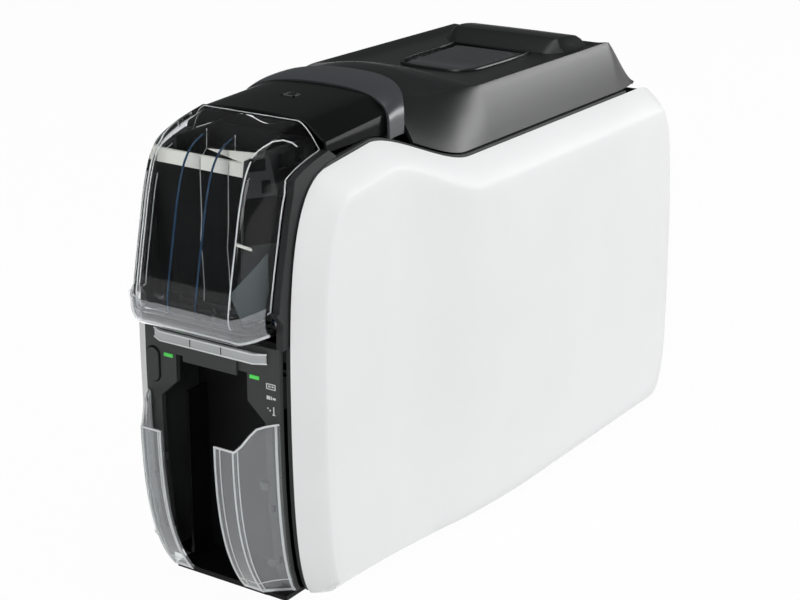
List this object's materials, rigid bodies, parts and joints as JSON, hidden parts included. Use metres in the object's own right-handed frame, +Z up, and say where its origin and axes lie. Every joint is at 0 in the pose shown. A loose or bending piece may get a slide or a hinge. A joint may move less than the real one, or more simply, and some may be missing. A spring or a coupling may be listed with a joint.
{
  "type": "id card printer",
  "caption": "Desktop card printer with a clear hopper door, clear output wings, white side panels and a hinged top lid.",
  "frame": {"origin": "on the floor under the middle of the body's box", "axes": "+X right, +Y to the rear, +Z up"},
  "size_m": [0.157, 0.41, 0.264],
  "materials": {
    "white_shell": "satin white",
    "black_frame": "fine matte",
    "bin_black": "satin",
    "gloss_black": "piano gloss",
    "fascia_grey": "matte",
    "clear": "clear",
    "smoked_clear": "smoked clear",
    "clip_grey": "matte",
    "green_light": "lit green",
    "rubber_black": "rubber",
    "cleaning_blue": "sticky rubber",
    "steel": "turned steel",
    "motor_grey": "painted",
    "gear_cream": "acetal",
    "inlet_black": "matte",
    "ribbon_dark": "film",
    "cartridge_grey": "matte",
    "board_green": "solder mask",
    "lid_grey": "satin",
    "collar_grey": "satin metallic",
    "head_alu": "milled"
  },
  "bodies": {
    "body": {"base_tray": "black_frame", "rubber_feet": "rubber_black", "left_side_frame": "fascia_grey", "right_side_frame": "fascia_grey", "left_side_panel": "white_shell", "right_side_panel": "white_shell", "front_fascia": "fascia_grey", "output_bin": "bin_black", "left_wing": "clear", "right_wing": "clear", "wing_clips": "clip_grey", "light_bar": "clear", "status_lights": "green_light", "slot_plate": "fascia_grey", "hopper_housing": "black_frame", "door_hinge_pins": "steel", "hopper_cover": "gloss_black", "rear_cover": "black_frame", "connector_plate": "black_frame", "power_inlet": "inlet_black", "usb_port": "steel", "network_port": "steel", "top_deck": "black_frame", "left_frame_plate": "steel", "right_frame_plate": "steel", "card_guide": "black_frame", "transport_motor": "motor_grey", "timing_belt": "rubber_black", "ribbon_motor": "motor_grey", "ribbon_cartridge": "cartridge_grey", "ribbon_film": "ribbon_dark", "main_board": "board_green", "lid_hinge_pins": "steel", "panel_screws": "steel"},
    "lid": {"lid_shell": "lid_grey", "lid_collar": "collar_grey", "lid_rear_cap": "lid_grey", "lid_frame": "black_frame", "head_springs": "steel"},
    "latch_key": {"latch_button": "lid_grey"},
    "latch_hooks": {"latch_bar": "steel"},
    "door": {"hopper_door": "smoked_clear"},
    "pusher": {"card_pusher": "black_frame"},
    "power_key": {"power_button": "fascia_grey"},
    "head": {"print_head": "head_alu"},
    "motor_drive": {"motor_pulley": "gear_cream"},
    "front_feed": {"front_feed_shaft": "steel", "front_feed_roller": "rubber_black"},
    "platen": {"platen_shaft": "steel", "platen_roller": "rubber_black"},
    "rear_feed": {"rear_feed_shaft": "steel", "rear_feed_roller": "rubber_black"},
    "front_pinch": {"front_pinch_roller": "steel"},
    "rear_pinch": {"rear_pinch_roller": "steel"},
    "cleaning": {"cleaning_roller": "cleaning_blue"},
    "picker": {"pick_roller": "rubber_black"},
    "takeup": {"takeup_spool": "ribbon_dark"},
    "supply": {"supply_spool": "ribbon_dark"},
    "pinion": {"ribbon_pinion": "gear_cream"}
  },
  "joints": [
    {"name": "lid_hinge", "type": "hinge", "parent": "body", "child": "lid", "pos_m": [0, 0.165, 0.2155], "axis": [-1, 0, 0], "range_deg": [0, 60]},
    {"name": "latch_press", "type": "slide", "parent": "lid", "child": "latch_key", "axis": [0, 0, -1], "range_m": [0, 0.0025], "stiffness_N_per_m": 400, "springref_m": -0.002},
    {"name": "latch_turn", "type": "hinge", "parent": "lid", "child": "latch_hooks", "pos_m": [0, 0.027, 0.233], "axis": [-1, 0, 0], "range_deg": [0, 3.9]},
    {"name": "door_hinge", "type": "hinge", "parent": "body", "child": "door", "pos_m": [0, -0.1735, 0.157], "axis": [1, 0, 0], "range_deg": [0, 30]},
    {"name": "pusher_slide", "type": "slide", "parent": "body", "child": "pusher", "axis": [0, -1, 0], "range_m": [0, 0.022], "stiffness_N_per_m": 20, "springref_m": -0.02},
    {"name": "power_press", "type": "slide", "parent": "body", "child": "power_key", "axis": [0, 1, 0], "range_m": [0, 0.0015], "stiffness_N_per_m": 400, "springref_m": -0.001},
    {"name": "head_float", "type": "slide", "parent": "lid", "child": "head", "axis": [0, 0, 1], "range_m": [0, 0.002], "stiffness_N_per_m": 500, "springref_m": -0.004, "deforming": ["head_springs"]},
    {"name": "motor_spin", "type": "hinge", "parent": "body", "child": "motor_drive", "pos_m": [0, 0.03, 0.069], "axis": [1, 0, 0], "continuous": true},
    {"name": "front_feed_spin", "type": "hinge", "parent": "body", "child": "front_feed", "pos_m": [0, -0.06, 0.115], "axis": [1, 0, 0], "continuous": true},
    {"name": "platen_spin", "type": "hinge", "parent": "body", "child": "platen", "pos_m": [0, 0.005, 0.115], "axis": [1, 0, 0], "continuous": true},
    {"name": "rear_feed_spin", "type": "hinge", "parent": "body", "child": "rear_feed", "pos_m": [0, 0.07, 0.115], "axis": [1, 0, 0], "continuous": true},
    {"name": "front_pinch_spin", "type": "hinge", "parent": "body", "child": "front_pinch", "pos_m": [0, -0.06, 0.1278], "axis": [1, 0, 0], "continuous": true},
    {"name": "rear_pinch_spin", "type": "hinge", "parent": "body", "child": "rear_pinch", "pos_m": [0, 0.07, 0.1278], "axis": [1, 0, 0], "continuous": true},
    {"name": "cleaning_spin", "type": "hinge", "parent": "body", "child": "cleaning", "pos_m": [0, -0.092, 0.115], "axis": [1, 0, 0], "continuous": true},
    {"name": "pick_spin", "type": "hinge", "parent": "body", "child": "picker", "pos_m": [0, -0.127, 0.17], "axis": [1, 0, 0], "continuous": true},
    {"name": "takeup_spin", "type": "hinge", "parent": "body", "child": "takeup", "pos_m": [0, -0.035, 0.162], "axis": [1, 0, 0], "continuous": true},
    {"name": "supply_spin", "type": "hinge", "parent": "body", "child": "supply", "pos_m": [0, 0.051, 0.162], "axis": [1, 0, 0], "continuous": true},
    {"name": "pinion_spin", "type": "hinge", "parent": "body", "child": "pinion", "pos_m": [0, -0.05498, 0.15475], "axis": [1, 0, 0], "continuous": true}
  ],
  "couplings": [
    {"joint": "front_feed_spin", "follows": "motor_spin", "ratio": 0.66667},
    {"joint": "platen_spin", "follows": "motor_spin", "ratio": 0.66667},
    {"joint": "rear_feed_spin", "follows": "motor_spin", "ratio": 0.66667},
    {"joint": "latch_turn", "follows": "latch_press", "rad_per_m": 26.738},
    {"joint": "pinion_spin", "follows": "takeup_spin", "ratio": -2.5},
    {"joint": "supply_spin", "follows": "takeup_spin", "ratio": 0.55882}
  ]
}
